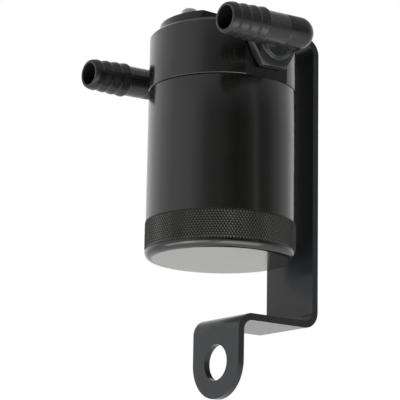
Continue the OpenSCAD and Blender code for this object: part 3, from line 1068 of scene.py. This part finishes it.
@dataclass
class Studio:
    """Camera, floor, soft lights and the white surroundings. Sizes are in metres.

    Attributes:
        eye: the camera's place.
        right: the picture's rightward direction.
        up: the picture's upward direction.
        back: the direction from the object to the camera.
        lens: focal length in millimetres.
        sensor: sensor width in millimetres.
        clip: nearest and farthest distance that the camera sees.
        aim: what the lights face.
        room: brightness of the room by the angle in degrees from the camera's own side, left
            of it negative.
        room_light: strength of the room.
        ceiling: brightness overhead.
        ceiling_edges: steepness at which the walls pass into the ceiling.
        backdrop_edges: how far behind the object the mirrored backdrop starts and fades.
        floor_size: half the floor's width.
        floor_level: height of the floor.
        paper: colour of the floor, which is matt paper, even and pale.
        paper_roughness: its roughness.
        paper_glow: light that the camera and shiny pieces see in it.
        boxes: the soft lights.
    """

    eye: tuple[float, float, float] = (0.68965, -0.54034, -0.11932)
    right: tuple[float, float, float] = (0.61183822, 0.79077852, 0.01798116)
    up: tuple[float, float, float] = (0.16633565, -0.15085445, 0.97446159)
    back: tuple[float, float, float] = (0.77329583, -0.59322194, -0.22383318)
    lens: float = 160.92
    sensor: float = 36.0
    clip: tuple[float, float] = (0.02, 20.0)
    aim: tuple[float, float, float] = (0.0, 0.0, 0.09)
    room: tuple[tuple[float, float], ...] = (
        (-180, 1.0), (-150, 0.85), (-125, 0.68), (-102, 0.52), (-84, 0.42), (-55, 0.39),
        (-40, 0.28), (-27, 0.165), (-13, 0.114), (2, 0.103), (12, 0.062), (24, 0.036), (36, 0.047),
        (50, 0.09), (58, 0.23), (65, 0.085), (78, 0.1), (95, 0.233), (115, 0.426), (145, 0.76),
        (180, 1.0))
    room_light: float = 1.4
    ceiling: float = 0.3
    ceiling_edges: tuple[float, float] = (0.3, 0.75)
    backdrop_edges: tuple[float, float] = (-0.97, -0.75)
    floor_size: float = 3.0
    floor_level: float = -0.30
    paper: str = "#f4f4f2"
    paper_roughness: float = 0.8
    paper_glow: float = 0.22
    # The two strips make the two highlights on the base round, and the low card and its weaker
    # twin light the undersides.
    boxes: tuple[SoftBox, ...] = (
        SoftBox("overhead", (-0.85, 0.70, 1.0), 0.9, 0.9, 3.0, mirrored=False),
        SoftBox("low_card", (0.26, -0.20, -0.22), 1.5, 0.3, 1.0, mirrored=False),
        SoftBox("low_wash", (0.252, -0.194, -0.21), 1.5, 0.3, 0.6),
        SoftBox("left_strip", (0.10, -0.385, -0.13), 0.29, 0.2, 0.17),
        SoftBox("right_strip", (0.30, -0.016, -0.2), 0.4, 0.25, 0.4),
        SoftBox("side_card", (-0.109, -0.430, -0.157), 0.45, 0.2, 0.4))

    def build(self) -> None:
        """Builds all of it."""
        self._camera()
        self._world()
        self._floor()
        for box in self.boxes:
            self._hang(box)

    def _camera(self) -> None:
        """Places the camera that the photograph was taken with."""
        scene = bpy.context.scene
        data = bpy.data.cameras.new("camera")
        data.lens, data.sensor_width = self.lens, self.sensor
        data.clip_start, data.clip_end = self.clip
        camera = bpy.data.objects.new("camera", data)
        turn = Matrix((self.right, self.up, self.back)).transposed().to_4x4()
        camera.matrix_world = Matrix.Translation(self.eye) @ turn
        scene.collection.objects.link(camera)
        scene.camera = camera
        scene.view_settings.view_transform = "Standard"
        scene.view_settings.look = "None"

    def _ring(self, graph: Graph, across: bpy.types.NodeSocket,
              toward: bpy.types.NodeSocket) -> bpy.types.Node:
        """Builds the room's brightness all the way round.

        Args:
            graph: the world's graph.
            across: how far a direction points to the right.
            toward: how far it points to the camera.

        Returns:
            The colour ramp.
        """
        angle = graph.add("Math", {0: across, 1: toward}, operation="ARCTAN2")
        turns = graph.add("Math", {0: angle, 1: math.tau}, operation="DIVIDE")
        share = graph.add("Math", {0: turns, 1: 0.5}, operation="ADD")
        ramp = graph.add("ValToRGB", {0: share})
        ramp.color_ramp.interpolation = "EASE"
        stops = ramp.color_ramp.elements
        stops.remove(stops[-1])
        for k, (degrees, light) in enumerate(self.room):
            place = 0.5 + degrees / 360
            stop = stops[0] if k == 0 else stops.new(place)
            stop.position = place
            stop.color = (light, light, light, 1.0)
        return ramp

    def _world(self) -> None:
        """Makes the surroundings: blown-out white behind, dark where the camera stands."""
        world = bpy.data.worlds.new("surroundings")
        world.use_nodes = True
        bpy.context.scene.world = world
        graph = Graph(world.node_tree)
        way = graph.add("TexCoord").outputs["Generated"]
        across, toward = (
            graph.add("VectorMath", {0: way, 1: line}, operation="DOT_PRODUCT").outputs["Value"]
            for line in (self.right, self.back))
        height = graph.add("Math", {0: graph.add("SeparateXYZ", {0: way}).outputs[2]},
                           operation="ABSOLUTE")
        above = graph.add("MapRange", {"Value": height, "From Min": self.ceiling_edges[0],
                                       "From Max": self.ceiling_edges[1]},
                          interpolation_type="SMOOTHSTEP")
        ceiling = (self.ceiling, self.ceiling, self.ceiling, 1.0)
        room = graph.add("Mix", {0: above, 6: self._ring(graph, across, toward), 7: ceiling},
                         data_type="RGBA")
        soft = graph.add("Background", {"Color": room.outputs[2], "Strength": self.room_light})
        white = graph.add("Background", {"Color": (1.0, 1.0, 1.0, 1.0), "Strength": 1.0})
        path = graph.add("LightPath").outputs
        mirrored = graph.add("Math", {0: path["Is Glossy Ray"], 1: path["Is Transmission Ray"]},
                             operation="MAXIMUM")
        behind = graph.add("MapRange", {"Value": toward, "From Min": self.backdrop_edges[0],
                                        "From Max": self.backdrop_edges[1], "To Min": 1.0,
                                        "To Max": 0.0},
                           interpolation_type="SMOOTHSTEP")
        backdrop = graph.add("Math", {0: mirrored, 1: behind}, operation="MULTIPLY")
        seen = graph.add("Math", {0: path["Is Camera Ray"], 1: backdrop}, operation="MAXIMUM")
        graph.add("OutputWorld", {"Surface": graph.add("MixShader", {0: seen, 1: soft, 2: white})})

    def _floor(self) -> None:
        """Lays a pale paper floor well below the object."""
        bm = bmesh.new()
        bmesh.ops.create_grid(bm, x_segments=1, y_segments=1, size=self.floor_size)
        bmesh.ops.translate(bm, verts=bm.verts, vec=(0.0, 0.0, self.floor_level))
        mesh = bpy.data.meshes.new("floor")
        bm.to_mesh(mesh)
        bm.free()
        material = bpy.data.materials.new("floor_paper")
        material.use_nodes = True
        graph = Graph(material.node_tree)
        paper = graph.add("BsdfPrincipled", {"Base Color": linear(self.paper),
                                             "Roughness": self.paper_roughness})
        path = graph.add("LightPath").outputs
        mirrored = graph.add("Math", {0: path["Is Glossy Ray"], 1: path["Is Transmission Ray"]},
                             operation="MAXIMUM")
        seen = graph.add("Math", {0: path["Is Camera Ray"], 1: mirrored}, operation="MAXIMUM")
        glow = graph.add("Math", {0: seen, 1: self.paper_glow}, operation="MULTIPLY")
        light = graph.add("Emission", {"Strength": glow})
        graph.add("OutputMaterial", {"Surface": graph.add("AddShader", {0: paper, 1: light})})
        mesh.materials.append(material)
        obj = bpy.data.objects.new("floor", mesh)
        bpy.context.scene.collection.objects.link(obj)

    def _hang(self, box: SoftBox) -> None:
        """Hangs one soft light.

        Args:
            box: the light.
        """
        data = bpy.data.lights.new(box.name, "AREA")
        data.shape = "RECTANGLE"
        data.size, data.size_y, data.energy = box.width, box.height, box.watts
        obj = bpy.data.objects.new(box.name, data)
        obj.location = box.place
        facing = Vector(self.aim) - Vector(box.place)
        obj.rotation_euler = facing.to_track_quat("-Z", "Y").to_euler()
        obj.visible_camera = False
        obj.visible_glossy = box.mirrored
        bpy.context.scene.collection.objects.link(obj)


def main() -> None:
    """Builds the scene."""
    logging.basicConfig(level=logging.INFO, format="%(name)s: %(message)s")
    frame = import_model()
    Studio().build()
    bench = Bench(frame)
    for assembly in (Cup, Head, Strap, Elbows, Fasteners, Inside):
        assembly(bench).build()
    bpy.context.view_layer.update()


if __name__ == "__main__":
    main()
